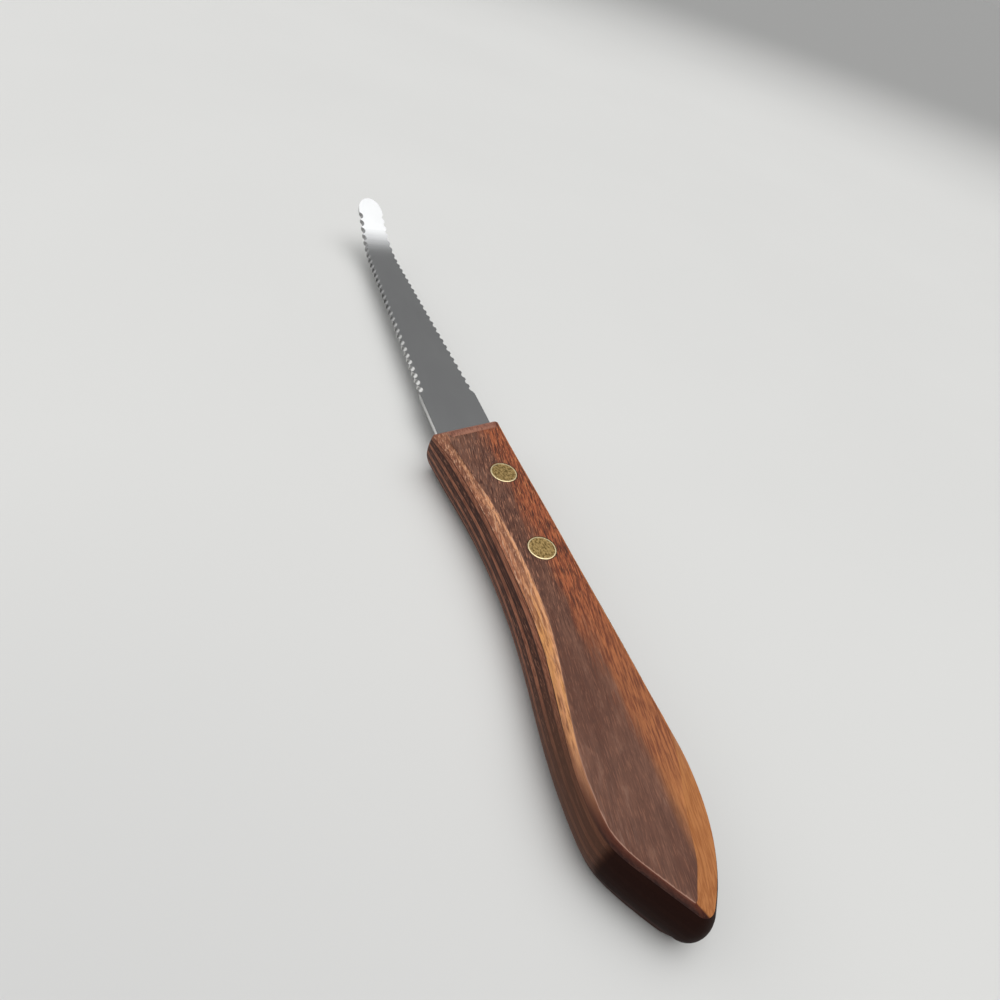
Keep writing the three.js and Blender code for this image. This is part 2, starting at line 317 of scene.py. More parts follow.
# %% [markdown]
# The lower half is the same form turned over, so a Mirror modifier makes it and joins it along the
# widest section. Above the middle the belt has taken more off in some places and less in others, so
# there we go through the form level by level, take hold of a stretch of one side and move it. The
# higher a level lies on the side, the farther it moves, and the widest section stays as it is.
# Sideways moves also slide along the slant of the front face, which keeps that face flat.

# %% Mirror the form and shape its upper half
UPPER_PULLS = [
    # side, stretch, move on the side and its reach, move on the rim and its reach
    (1, (-6.0, 3.0), (1.3, 8.0), (-0.6, 25.0)),         # front corner at the fingers
    (1, (-60.0, -57.5), (-0.75, 22.0), (-0.75, 22.0)),  # behind the waist
    (1, (-85.0, -82.5), (0.5, 14.0), (0.6, 14.0)),      # belly
    (-1, (-72.0, 3.0), (-0.55, 12.0), (-0.4, 12.0)),    # back
]
SIDE_STARTS = {1: 3.0, -1: 0.0}  # how far from the line of the rivets each side begins
apply_modifier(handle, "MIRROR", use_axis=(False, False, True),
               use_mirror_merge=True, merge_threshold=HAIR)
start_edit(handle)
shape = bmesh.from_edit_mesh(handle.data)
levels = sorted({round(v.co.z, 6) for v in shape.verts})
upper_levels = [z for z in levels if z > 10 * HAIR]


def on_level(vertex, level):
    return abs(vertex.co.z - level) < 2 * HAIR


for side, (start, end), on_side, on_rim in UPPER_PULLS:
    side_start = SIDE_STARTS[side] * MM
    for level in upper_levels:
        pick("VERT", lambda v: on_level(v, level) and (v.co.y - RIVET_Y) * side > side_start)
        bpy.ops.mesh.hide(unselected=True)
        held = pick("VERT", lambda v: place(start, 0).x < v.co.x < place(end, 0).x)
        share = min(level / crown_height, 1.0) ** 2
        move, reach = on_side if level < crown_height + 10 * HAIR else on_rim
        outward = side * move * share * MM
        soft_move((-outward * math.tan(FRONT_SLANT), outward, 0), reach)
        bpy.ops.mesh.reveal(select=False)
    print("moved", held, "vertices on each of", len(upper_levels), "levels")
end_edit()

# %% [markdown]
# Then the two upright corners of the front get a round. Their edges are found level by level: on
# each level they start from the vertex that reaches farthest towards that corner. Last, the outer
# edge of the front slope is pulled down on the top face, and up on the underside.

# %% Round the front corners
CORNER_RADIUS = 0.7
CORNER_STEPS = 5
CORNER_WAYS = (Vector((0.8, 0.6)), Vector((0.6, -0.8)))
LONGEST_EDGE = 5.0
FRONT_DROP = 0.32
SLOPE_EDGE = 2.4
DROP_REACH = 7.0
start_edit(handle)
shape = bmesh.from_edit_mesh(handle.data)
corners = set()
for level in levels:
    ring = [v for v in shape.verts if on_level(v, level)]
    for lean in CORNER_WAYS:
        corners.add(max(ring, key=lambda v: v.co.xy.dot(lean)).index)
found = pick("EDGE", lambda e: all(v.index in corners for v in e.verts)
             and e.calc_length() < LONGEST_EDGE * MM)
bpy.ops.mesh.bevel(offset=CORNER_RADIUS * MM, segments=CORNER_STEPS, affect="EDGES")
slope_z = crown_height + RIM_STEPS[0][1] * MM
for way in (1, -1):
    pick("VERT", lambda v: on_level(v, way * slope_z))
    bpy.ops.mesh.hide(unselected=True)
    pick("VERT", lambda v: behind_front(v.co) < SLOPE_EDGE * MM)
    soft_move((0, 0, -way * FRONT_DROP * MM), DROP_REACH)
    bpy.ops.mesh.reveal(select=False)
face_outwards()
end_edit()
settle(handle)
print("rounded", found, "edges on", len(levels), "levels")
print("handle form:", len(handle.data.polygons), "faces")

# %% [markdown]
# Each rivet needs a hole through the handle and a shallow seat for its head in both faces. The tool
# is a cylinder whose two ends are drawn out wider, and it cuts with a Boolean modifier. Drawing out
# one end leaves a step that looks the same way as the other end, so an end is picked by its height
# too. The seat is a hair wider than the head, and that gap is the thin dark ring round every rivet.

# %% Drill the rivet holes
HEAD_RADIUS = 2.85
HEAD_DEPTH = 1.1
SEAT_GAP = 0.13
TUBE_RADIUS = 1.8
HOLE_GAP = 0.1
HOLE_SIDES = 64
TOOL_END = 3 * HEAD_DEPTH
RIVETS = {"front": -17.4, "rear": -38.2}


def rod(sides, radius, length, where, turn=(0, 0, 0)):
    bpy.ops.mesh.primitive_cylinder_add(vertices=sides, radius=radius * MM, depth=length * MM,
                                        location=where, rotation=turn)
    return bpy.context.object


def drill_tool(x):
    hole = TUBE_RADIUS + HOLE_GAP
    wider = (HEAD_RADIUS + SEAT_GAP) / hole
    half_depth = MID_Z - HEAD_DEPTH * MM
    deselect()
    tool = rod(HOLE_SIDES, hole, 2 * half_depth / MM, place(x, 0, MID_Z))
    start_edit(tool)
    for way in (1, -1):
        pick("FACE", lambda f: faces_up(f, way) and abs(middle(f).z - way * half_depth) < HAIR)
        extrude(0)
        bpy.ops.transform.resize(value=(wider, wider, 1))
        extrude(way * TOOL_END * MM)
    face_outwards()
    end_edit()
    settle(tool)
    return tool


for x in RIVETS.values():
    cut_away(handle, drill_tool(x))
print("handle with holes:", len(handle.data.polygons), "faces")

# %% [markdown]
# Now the slices. Every ply is a copy of the whole form that is bisected twice, at the heights the
# frame gives for that ply, and the cuts are filled so that each slice is a closed piece of veneer.
# The small threshold keeps a cut from snapping to points of the form that lie close to it.

# %% Slice the plies
PLY_NODES = [n for n in frame["nodes"] if "ply" in n]


def slice_ply(node):
    low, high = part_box(node)
    ply = copy_of(handle, node + "_veneer")
    start_edit(ply)
    for height, way in ((low.z, -1), (high.z, 1)):
        if 10 * HAIR < height < TOP_Z - 10 * HAIR:
            bpy.ops.mesh.select_all(action="SELECT")
            bpy.ops.mesh.bisect(plane_co=(0, 0, height), plane_no=(0, 0, way), use_fill=True,
                                clear_outer=True, threshold=HAIR)
    end_edit()
    return ply


veneers = {node: slice_ply(node) for node in PLY_NODES}
bpy.data.objects.remove(handle)
for node, ply in sorted(veneers.items()):
    print(node, len(ply.data.polygons), "faces")

# %% [markdown]
# The blade runs on inside the handle as a narrower tang, and the core ply has a notch for it. The
# tool is a flat bar with a round end, a little larger than the tang. A bar along the knife's middle
# is also the start of the blade, so it gets a helper.

# %% Notch the core ply
TANG_WIDTH = 9.0
TANG_END = -46.2
TANG_ROUND = 0.45  # share of the tang's width
TANG_ROUND_STEPS = 8
BLADE_OFFSET = 0.65
NOTCH_GAP = 0.15
NOTCH_FRONT = 10.0
NOTCH_HEIGHT = 4.0


def bar(start, end, width, thickness):
    deselect()
    bpy.ops.mesh.primitive_cube_add(size=1, location=place((start + end) / 2, BLADE_OFFSET, MID_Z))
    piece = bpy.context.object
    piece.scale = ((end - start) * MM, width * MM, thickness * MM)
    settle(piece)
    return piece


def upright(edge):
    return abs(edge.verts[0].co.z - edge.verts[1].co.z) > HAIR


def round_tang_end():
    end_x = place(TANG_END, 0).x + HAIR
    pick("EDGE", lambda e: middle(e).x < end_x and upright(e))
    bpy.ops.mesh.bevel(offset=TANG_WIDTH * TANG_ROUND * MM, segments=TANG_ROUND_STEPS, affect="EDGES")


notch = bar(TANG_END - NOTCH_GAP, NOTCH_FRONT, TANG_WIDTH + 2 * NOTCH_GAP, NOTCH_HEIGHT)
start_edit(notch)
round_tang_end()
end_edit()
cut_away(veneers["core_ply"], notch)
print("notched core ply:", len(veneers["core_ply"].data.polygons), "faces")

# %% [markdown]
# ## The blade
# The blade is stamped from one millimetre of stainless sheet. We start from a flat bar, cut it
# across where the toothed part begins, narrow its far end and round the point, all before the
# bend: shapes are easy to place on a flat bar, as they are for the press tool that stamps it.

# %% Stamp the blank
BLADE_LENGTH = 106.0
BLADE_THICKNESS = 1.0
HEEL_GAP = 0.2
HEEL_WIDTH = 14.0
HEEL_LENGTH = 16.1
POINT_WIDTH = 6.8
POINT_LENGTH = 5.0
POINT_ROUND = 0.485  # share of the point's width
POINT_ROUND_STEPS = 10
TOOTH_SETBACK = 0.25
STEP_LENGTH = 0.5
TOOTHED_FROM = HEEL_LENGTH + STEP_LENGTH
AXIS_Y = RIVET_Y + BLADE_OFFSET * MM
blade = bar(HEEL_GAP, BLADE_LENGTH, HEEL_WIDTH, BLADE_THICKNESS)
blade.name = "toothed_blade"


def cross_cut(x):
    bpy.ops.mesh.select_all(action="SELECT")
    bpy.ops.mesh.bisect(plane_co=place(x, 0, 0), plane_no=(1, 0, 0))


def narrow(x, width):
    across = place(x, 0).x
    pick("VERT", lambda v: abs(v.co.x - across) < HAIR)
    bpy.ops.transform.resize(value=(1, width / HEEL_WIDTH, 1), center_override=(0, AXIS_Y, MID_Z))


start_edit(blade)
cross_cut(HEEL_LENGTH)
cross_cut(TOOTHED_FROM)
narrow(TOOTHED_FROM, HEEL_WIDTH - 2 * TOOTH_SETBACK)
narrow(BLADE_LENGTH, POINT_WIDTH)
tip_x = place(BLADE_LENGTH, 0).x
pick("EDGE", lambda e: middle(e).x > tip_x - HAIR and upright(e))
bpy.ops.mesh.bevel(offset=POINT_WIDTH * POINT_ROUND * MM, segments=POINT_ROUND_STEPS, affect="EDGES")
point_x = tip_x - POINT_WIDTH / 2 * MM
pick("VERT", lambda v: v.co.x > point_x + HAIR)
stretch = POINT_LENGTH / (POINT_WIDTH / 2)
bpy.ops.transform.resize(value=(stretch, 1, 1), center_override=(tip_x, AXIS_Y, MID_Z))
end_edit()
print("blank:", len(blade.data.polygons), "faces")

# %% [markdown]
# The heel end leans like the handle's front face, and behind it the tang runs into the core ply. We
# cut the end face twice along the blade, slide its rows of points to the slant, and extrude the
# middle of it backwards.

# %% Draw out the tang
HEEL_REACH = 3.0
start_edit(blade)
for side in (-1, 1):
    bpy.ops.mesh.select_all(action="SELECT")
    bpy.ops.mesh.bisect(plane_co=place(0, BLADE_OFFSET + side * TANG_WIDTH / 2), plane_no=(0, 1, 0))
heel_x = place(HEEL_GAP, 0).x
shape = bmesh.from_edit_mesh(blade.data)
heel_rows = sorted({round(v.co.y, 7) for v in shape.verts if v.co.x < heel_x + HAIR})
for row in heel_rows:
    pick("VERT", lambda v: v.co.x < heel_x + HEEL_REACH * MM and abs(v.co.y - row) < HAIR)
    slide = -(row - RIVET_Y) * math.tan(FRONT_SLANT)
    bpy.ops.transform.translate(value=(slide, 0, 0))
tang_half = TANG_WIDTH / 2 * MM + HAIR
pick("FACE", lambda f: f.normal.x < -0.9 and all(abs(v.co.y - AXIS_Y) < tang_half for v in f.verts))
extrude(0)
tang_x = place(TANG_END, 0).x
bpy.ops.transform.resize(value=(0, 1, 1), center_override=(tang_x, AXIS_Y, MID_Z))
round_tang_end()
face_outwards()
end_edit()
print("blade with tang:", len(blade.data.polygons), "faces")

# %% [markdown]
# The teeth are hollows that a row of small grinding wheels leaves in both edges. Each hollow is
# cut by a leaning cylinder. They all lean the same way, so that the finger-side edge is ground from
# above and the other edge from below. All cylinders sit in one tool mesh for a single Boolean. The
# tang's two rivet holes are cut last.

# %% Grind the teeth
TOOTH_PITCH = 2.8
TOOTH_DEPTH = 0.6
FIRST_TOOTH = 0.45  # share of a pitch
WHEEL_RADIUS = 1.32
WHEEL_WIDTH = 8.0
WHEEL_SIDES = 20
WHEEL_LEAN = math.radians(28)
TANG_HOLE_SIDES = 48
TANG_HOLE_DEPTH = 4.0


def half_width(x):
    taper = (x - HEEL_LENGTH) / (BLADE_LENGTH - HEEL_LENGTH)
    half = HEEL_WIDTH / 2 - TOOTH_SETBACK
    return half + (POINT_WIDTH / 2 - half) * taper


deselect()
wheels = rod(WHEEL_SIDES, WHEEL_RADIUS, WHEEL_WIDTH, (0, 0, 0))
start_edit(wheels)
bpy.ops.mesh.delete(type="VERT")
tooth_count = int((BLADE_LENGTH - POINT_LENGTH - TOOTHED_FROM) / TOOTH_PITCH)
for tooth in range(tooth_count):
    x = TOOTHED_FROM + (tooth + FIRST_TOOTH) * TOOTH_PITCH
    for side in (-1, 1):
        y = BLADE_OFFSET + side * (half_width(x) - TOOTH_DEPTH + WHEEL_RADIUS)
        rod(WHEEL_SIDES, WHEEL_RADIUS, WHEEL_WIDTH, place(x, y, MID_Z), (WHEEL_LEAN, 0, 0))
end_edit()
cut_away(blade, wheels)
for x in RIVETS.values():
    deselect()
    drill = rod(TANG_HOLE_SIDES, TUBE_RADIUS + HOLE_GAP, TANG_HOLE_DEPTH, place(x, 0, MID_Z))
    cut_away(blade, drill)
print("ground", 2 * tooth_count, "teeth:", len(blade.data.polygons), "faces")

# %% [markdown]
# Last comes the bend that lets the tip scoop round a grapefruit. The sheet is cut across at every
# step of the bend. Starting from the step nearest the tip, all that lies beyond a cut is turned up
# by a few degrees, so that earlier steps ride along with later ones.

# %% Turn the tip up
TIP_LENGTH = 27.3
BEND_ANGLE = math.radians(24)
BEND_RADIUS = 38.0
BEND_STEPS = 16
bend_start = BLADE_LENGTH - TIP_LENGTH
bend_run = BEND_RADIUS * BEND_ANGLE
start_edit(blade)
for step in reversed(range(BEND_STEPS)):
    x = bend_start + bend_run * (step + 0.5) / BEND_STEPS
    cross_cut(x)
    hinge = place(x, BLADE_OFFSET, MID_Z)
    pick("VERT", lambda v: v.co.x > hinge.x + HAIR)
    bpy.ops.transform.rotate(value=BEND_ANGLE / BEND_STEPS, orient_axis="Y", center_override=hinge)
bpy.ops.mesh.select_all(action="SELECT")
bpy.ops.mesh.remove_doubles(threshold=2 * HAIR)
end_edit()
print("tip at", round(max(v.co.z for v in blade.data.vertices) / MM, 2), "mm above the table")

# %% [markdown]
# ## The rivets
# A cutler's rivet has two halves: a solid pin is driven into a tube until both heads sit flush. The
# head is turned with a fine raised rim. We start from a disc, inset its outer face and sink it for
# the rim, then inset its inner face and extrude the shank out of it.

# %% Turn the pin half
HEAD_SIDES = 72
RIM_WIDTH = 0.28
RIM_HEIGHT = 0.06
RIM_ROUND = 0.12
RIM_ROUND_STEPS = 3
PIN_RADIUS = 1.2
PIN_END = 1.7


def head_disc(name, z_low):
    deselect()
    head = rod(HEAD_SIDES, HEAD_RADIUS, HEAD_DEPTH,
               place(RIVETS["front"], 0, z_low + HEAD_DEPTH * MM / 2))
    head.name = name
    settle(head)
    return head


def at_rim(edge, way):
    sides = edge.link_faces
    return (len(sides) == 2 and any(faces_up(f, way) for f in sides)
            and any(abs(f.normal.z) < 0.1 for f in sides))


def sink_face(way):
    pick("FACE", lambda f: faces_up(f, way))
    bpy.ops.mesh.inset(thickness=RIM_WIDTH * MM, depth=0)
    bpy.ops.mesh.inset(thickness=RIM_HEIGHT * MM, depth=-RIM_HEIGHT * MM)
    pick("EDGE", lambda e: at_rim(e, way))
    bpy.ops.mesh.bevel(offset=RIM_ROUND * MM, segments=RIM_ROUND_STEPS, affect="EDGES")


pin = head_disc("front_rivet_pin_turned", TOP_Z - HEAD_DEPTH * MM)
start_edit(pin)
sink_face(1)
pick("FACE", lambda f: faces_up(f, -1))
bpy.ops.mesh.inset(thickness=(HEAD_RADIUS - PIN_RADIUS) * MM, depth=0)
shank = TOP_Z - (HEAD_DEPTH + PIN_END) * MM
extrude(-shank)
end_edit()
print("pin half:", len(pin.data.polygons), "faces")

# %% [markdown]
# The tube half is made the same way from below, only its shank is hollow: one more inset and an
# extrusion back down bore it out. Both halves are copied to the rear rivet, each with its own mesh.

# %% Turn the tube half and copy both
BORE_RADIUS = 1.25
TUBE_END_GAP = 0.6
tube = head_disc("front_rivet_tube_turned", 0.0)
start_edit(tube)
sink_face(-1)
pick("FACE", lambda f: faces_up(f))
bpy.ops.mesh.inset(thickness=(HEAD_RADIUS - TUBE_RADIUS) * MM, depth=0)
tube_height = TOP_Z - (2 * HEAD_DEPTH + TUBE_END_GAP) * MM
extrude(tube_height)
bpy.ops.mesh.inset(thickness=(TUBE_RADIUS - BORE_RADIUS) * MM, depth=0)
extrude(-tube_height)
end_edit()
rivet_halves = {"front_rivet_pin": pin, "front_rivet_tube": tube}
for half in ("pin", "tube"):
    twin = copy_of(rivet_halves["front_rivet_" + half], "rear_rivet_" + half + "_turned")
    twin.location.x = (RIVETS["rear"] - RIVETS["front"]) * MM
    settle(twin)
    rivet_halves["rear_rivet_" + half] = twin
for node, half in sorted(rivet_halves.items()):
    low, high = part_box(node)
    reach = [round(z / MM, 2) for z in (low.z, high.z)]
    print(node, len(half.data.polygons), "faces, CAD solid from and to", reach)

# %% [markdown]
# Smooth shading hides the facets of round forms, such as the crowned sides and the rivet heads. An
# angle limit keeps real edges crisp: the teeth, the edges of the steel and the joints of the plies.

# %% Shade the pieces
SMOOTH_ANGLE = math.radians(32)
for piece in [blade, *veneers.values(), *rivet_halves.values()]:
    only(piece)
    bpy.ops.object.shade_smooth_by_angle(angle=SMOOTH_ANGLE)
print("shaded", 1 + len(veneers) + len(rivet_halves), "pieces")

# %% [markdown]
# ## Finishes
# A material is a small tree of nodes. One helper adds a node, sets its options, and fills each of
# its sockets with a value or a link. The others build what we need again and again: a blend of two
# colours, a soft step, a sum, a noise that is drawn out along the grain, and a bump.


# %% Helpers for node trees
def new_finish(name):
    finish = bpy.data.materials.new(name)
    finish.use_nodes = True
    finish.node_tree.nodes.clear()
    return finish, finish.node_tree


def add(tree, kind, sockets=None, **settings):
    node = tree.nodes.new("ShaderNode" + kind)
    for setting, value in settings.items():
        setattr(node, setting, value)
    for key, value in (sockets or {}).items():
        if isinstance(key, int):
            socket = node.inputs[key]
        else:
            socket = next(s for s in node.inputs if s.name == key and s.enabled)
        if isinstance(value, bpy.types.NodeSocket):
            tree.links.new(value, socket)
        else:
            socket.default_value = value
    return node


def blend(tree, factor, first, second, way="MIX"):
    sockets = {"Factor": factor, "A": first, "B": second}
    node = add(tree, "Mix", sockets, data_type="RGBA", blend_type=way)
    return next(s for s in node.outputs if s.enabled)


def ramp(tree, value, start, full, low=0.0, high=1.0):
    sockets = {"Value": value, "From Min": start, "From Max": full, "To Min": low, "To Max": high}
    return add(tree, "MapRange", sockets, interpolation_type="SMOOTHSTEP").outputs["Result"]


def calc(tree, operation, first, second=0.0):
    return add(tree, "Math", {0: first, 1: second}, operation=operation).outputs[0]


def times(tree, first, second):
    return calc(tree, "MULTIPLY", first, second)


def plus(tree, first, second):
    return calc(tree, "ADD", first, second)


def tone(red, green, blue):
    def linear(channel):
        share = channel / 255
        return share / 12.92 if share <= 0.04045 else ((share + 0.055) / 1.055) ** 2.4
    return (linear(red), linear(green), linear(blue), 1.0)


print("node helpers ready")


# %% Helpers for finishes
def knife_place(tree):
    coords = add(tree, "TexCoord").outputs
    shift = (-FRONT_X / MM, -RIVET_Y / MM, -MID_Z / MM)
    per_metre = (1 / MM, 1 / MM, 1 / MM)
    sockets = {"Vector": coords["Object"], "Location": shift, "Scale": per_metre}
    mm = add(tree, "Mapping", sockets).outputs[0]
    spot = add(tree, "SeparateXYZ", {0: mm}).outputs
    facing = add(tree, "SeparateXYZ", {0: coords["Normal"]}).outputs
    return mm, spot, facing


def streaks(tree, where, along, across, seed=0.0, detail=3.0):
    scale = (1 / along, 1 / across, 1 / across)
    drawn_out = add(tree, "Mapping", {"Vector": where, "Location": (seed, seed, seed), "Scale": scale})
    noise = {"Vector": drawn_out.outputs[0], "Scale": 1.0, "Detail": detail, "Roughness": 0.6}
    return add(tree, "TexNoise", noise).outputs["Fac"]


def bumps(tree, height, strength, depth):
    sockets = {"Height": height, "Strength": strength, "Distance": depth * MM}
    return add(tree, "Bump", sockets).outputs["Normal"]


def surface(tree, sockets):
    shader = add(tree, "BsdfPrincipled", sockets)
    add(tree, "OutputMaterial", {"Surface": shader.outputs["BSDF"]})


print("finish helpers ready")

# %% [markdown]
# Satin stainless steel is a metal with a very fine grain along the blade. Its ground and sheared
# edges are smoother than its faces, and the normal tells them apart: a face looks up or down, an
# edge looks sideways. The edges get a lighter colour: partly their own polish and partly a painted
# highlight, which fades from bright at the heel to dull at the tip.

# %% Steel
DULL_FACE, PALE_FACE = tone(170, 171, 172), tone(184, 185, 185)
# The edge tones are the edges' own polish plus a painted highlight that fades towards the tip.
HEEL_EDGE_AND_HIGHLIGHT, TIP_EDGE_AND_HIGHLIGHT = tone(228, 228, 226), tone(150, 150, 150)
steel, tree = new_finish("satin_stainless")
mm, spot, facing = knife_place(tree)
brushed = streaks(tree, mm, 9.0, 0.12)
haze = streaks(tree, mm, 22.0, 9.0)
edge = ramp(tree, calc(tree, "ABSOLUTE", facing["Z"]), 0.8, 0.4)
face_tone = blend(tree, haze, DULL_FACE, PALE_FACE)
edge_and_highlight_tone = blend(tree, ramp(tree, spot["X"], 14.0, 62.0), HEEL_EDGE_AND_HIGHLIGHT, TIP_EDGE_AND_HIGHLIGHT)
shade = blend(tree, edge, face_tone, edge_and_highlight_tone)
rough = plus(tree, times(tree, brushed, 0.08), 0.2)
bump = bumps(tree, brushed, 0.04, 0.02)
surface(tree, {"Base Color": shade, "Metallic": 1.0, "Roughness": rough, "Normal": bump})
print("steel with", len(tree.nodes), "nodes")

# %% [markdown]
# The rivets have gone olive with age. The raised rim is rubbed bright and carries a painted
# highlight as well. It is the highest part of the head, so height above the knife's middle is
# enough to find it. Small noises give stains, fine scratches and pits.

# %% Brass
DARK_OLIVE, PALE_OLIVE = tone(112, 92, 53), tone(190, 161, 107)
SCRATCH, PIT = tone(226, 208, 160), tone(70, 58, 36)
# The rim tone is rubbed polish plus a painted highlight.
RIM_POLISH_AND_HIGHLIGHT = tone(240, 222, 178)
brass, tree = new_finish("tarnished_brass")
mm, spot, facing = knife_place(tree)
height = calc(tree, "ABSOLUTE", spot["Z"])
stain = streaks(tree, mm, 0.62, 0.44, detail=6.0)
scratch = streaks(tree, mm, 1.6, 0.09, seed=7.0)
pit = streaks(tree, mm, 0.16, 0.16, seed=3.0, detail=1.0)
olive = blend(tree, ramp(tree, stain, 0.36, 0.62), DARK_OLIVE, PALE_OLIVE)
olive = blend(tree, ramp(tree, scratch, 0.62, 0.75, 0.0, 0.5), olive, SCRATCH)
olive = blend(tree, ramp(tree, pit, 0.68, 0.74, 0.0, 0.8), olive, PIT)
rim = ramp(tree, height, MID_Z / MM - 0.05, MID_Z / MM - 0.015)
shade = blend(tree, rim, olive, RIM_POLISH_AND_HIGHLIGHT)
rough = ramp(tree, rim, 0.0, 1.0, 0.46, 0.38)
bump = bumps(tree, stain, 0.15, 0.04)
surface(tree, {"Base Color": shade, "Metallic": 1.0, "Roughness": rough, "Normal": bump})
print("brass with", len(tree.nodes), "nodes")

# %% [markdown]
# The face veneers are a dark open-grained wood. The grain does not follow the handle but runs nine
# degrees across it. Noises that are drawn out along the grain make clouds, patches, fibres, pale
# flecks and dark pores. Years of grip have polished the rear half, so its strokes are less crisp.
# In all these steps a place along the knife is in millimetres from the handle's front.

# %% Grain of the face veneers
GRAIN_TURN = math.radians(9)
face_wood, tree = new_finish("face_veneer")
mm, spot, facing = knife_place(tree)
along = spot["X"]
grain = add(tree, "Mapping", {"Vector": mm, "Rotation": (0, 0, GRAIN_TURN)}).outputs[0]
cloud = streaks(tree, grain, 26.0, 3.2)
mottle = streaks(tree, grain, 3.6, 1.5, seed=53.0, detail=4.0)
fibre = streaks(tree, grain, 4.0, 0.36, seed=11.0)
light_stroke = streaks(tree, grain, 2.4, 0.24, seed=23.0, detail=2.0)
dark_stroke = streaks(tree, grain, 3.0, 0.26, seed=37.0, detail=2.0)
crisp = ramp(tree, along, -36.0, -66.0, 1.0, 0.28)
flecks = times(tree, ramp(tree, light_stroke, 0.55, 0.64, 0.0, 0.7), crisp)
grooves = times(tree, ramp(tree, dark_stroke, 0.52, 0.6, 0.0, 0.8), crisp)
streaky = ramp(tree, fibre, 0.36, 0.62)
print("grain with", len(tree.nodes), "nodes")

# %% [markdown]
# The middle of the top has kept a dark, purplish stain. The back half is worn: red at the front,
# then orange, then golden at the butt. Where the wood is worn is a matter of place, and clouds and
# fibres fray the border. It could be painted by hand, but a soft step of the distance from the
# handle's back is easy to move and needs no picture.

# %% Stained and worn top
DEEP_STAIN, SOFT_STAIN = tone(93, 57, 43), tone(113, 76, 60)
DARK_PATCH, PALE_PATCH = tone(84, 54, 42), tone(136, 100, 82)
DARK_FIBRE, STAINED_FLECK = tone(74, 43, 33), tone(172, 117, 90)
stained = blend(tree, ramp(tree, cloud, 0.35, 0.65), DEEP_STAIN, SOFT_STAIN)
stained = blend(tree, ramp(tree, mottle, 0.6, 0.3, 0.0, 0.55), stained, DARK_PATCH)
stained = blend(tree, ramp(tree, mottle, 0.56, 0.74, 0.0, 0.5), stained, PALE_PATCH)
stained = blend(tree, times(tree, ramp(tree, fibre, 0.54, 0.38), crisp), stained, DARK_FIBRE)
stained = blend(tree, flecks, stained, STAINED_FLECK)

DEEP_RED, SOFT_RED = tone(94, 42, 26), tone(162, 88, 54)
DEEP_ORANGE, SOFT_ORANGE = tone(116, 62, 38), tone(163, 100, 60)
DEEP_GOLD, SOFT_GOLD = tone(156, 94, 50), tone(182, 119, 69)
WORN_FLECK, PORE = tone(196, 122, 76), tone(58, 30, 23)
red = blend(tree, ramp(tree, fibre, 0.38, 0.6), DEEP_RED, SOFT_RED)
orange = blend(tree, streaky, DEEP_ORANGE, SOFT_ORANGE)
gold = blend(tree, streaky, DEEP_GOLD, SOFT_GOLD)
worn = blend(tree, ramp(tree, along, -38.0, -75.0), red, orange)
worn = blend(tree, ramp(tree, along, -78.0, -90.0), worn, gold)
worn = blend(tree, flecks, worn, WORN_FLECK)

BORDER_WIDTH = 7.0
loose = ramp(tree, along, -70.0, -88.0, 1.0, 0.2)
border = calc(tree, "SUBTRACT", plus(tree, cloud, fibre), 1.0)
border = times(tree, times(tree, border, BORDER_WIDTH), loose)
kept = ramp(tree, along, -34.0, -52.0, 0.0, 0.7)
kept = plus(tree, kept, ramp(tree, along, -72.0, -88.0, 0.0, 0.4))
from_back = plus(tree, plus(tree, border, spot["Y"]), kept)
top_tone = blend(tree, ramp(tree, from_back, 2.3, -1.1), stained, worn)
top_tone = blend(tree, grooves, top_tone, PORE)
print("top with", len(tree.nodes), "nodes")

# %% [markdown]
# Every bevel is sanded through the stain. On the finger side it is bare: tan at the front, golden
# at the belly, paler towards its upper edge, with long lines where the belt has cut through the
# growth rings. At the butt it is painted dark, darkest at its lower edge, which is painted shade,
# and its texture there is calm. On the back it is golden all along, and the narrow slope at the
# front is a strip of its own. The bevels on the underside, which face the table, are painted dark
# too: painted shade.

# %% Sanded bevels
LOW_TAN, HIGH_TAN = tone(166, 106, 76), tone(218, 157, 114)
# The butt tones are painted shade, darkest at the bevel's lower edge.
LOW_BUTT_SHADE, HIGH_BUTT_SHADE = tone(46, 14, 7), tone(86, 38, 22)
FRONT_TAN, BLOTCH, BELLY_GOLD = tone(128, 78, 58), tone(152, 97, 70), tone(218, 154, 92)
rise = ramp(tree, calc(tree, "ABSOLUTE", spot["Z"]), 4.4, 5.6)
butt = ramp(tree, along, -70.0, -90.0)
calm = ramp(tree, butt, 0.0, 1.0, 1.0, 0.0)
low = blend(tree, butt, LOW_TAN, LOW_BUTT_SHADE)
high = blend(tree, butt, HIGH_TAN, HIGH_BUTT_SHADE)
sanded = blend(tree, rise, low, high)
sanded = blend(tree, ramp(tree, along, -26.0, -4.0, 0.0, 0.45), sanded, FRONT_TAN)
blotch = times(tree, ramp(tree, mottle, 0.56, 0.34, 0.0, 0.5), calm)
sanded = blend(tree, blotch, sanded, BLOTCH)
golden = times(tree, ramp(tree, along, -40.0, -58.0), ramp(tree, along, -82.0, -66.0))
golden = times(tree, golden, ramp(tree, cloud, 0.35, 0.6))
sanded = blend(tree, golden, sanded, BELLY_GOLD)

SOAKED, RING, BARE_FLECK, BARE_PORE = (
    tone(104, 60, 44), tone(116, 70, 52), tone(214, 168, 136), tone(96, 54, 38))
soaked = times(tree, ramp(tree, fibre, 0.5, 0.36, 0.0, 0.6), calm)
sanded = blend(tree, soaked, sanded, SOAKED, "MULTIPLY")
rings = streaks(tree, mm, 40.0, 0.5, seed=71.0, detail=2.0)
ringed = times(tree, ramp(tree, rings, 0.54, 0.42, 0.0, 0.75), crisp)
sanded = blend(tree, ringed, sanded, RING)
sanded = blend(tree, times(tree, flecks, calm), sanded, BARE_FLECK)
sanded = blend(tree, times(tree, grooves, 0.75), sanded, BARE_PORE)
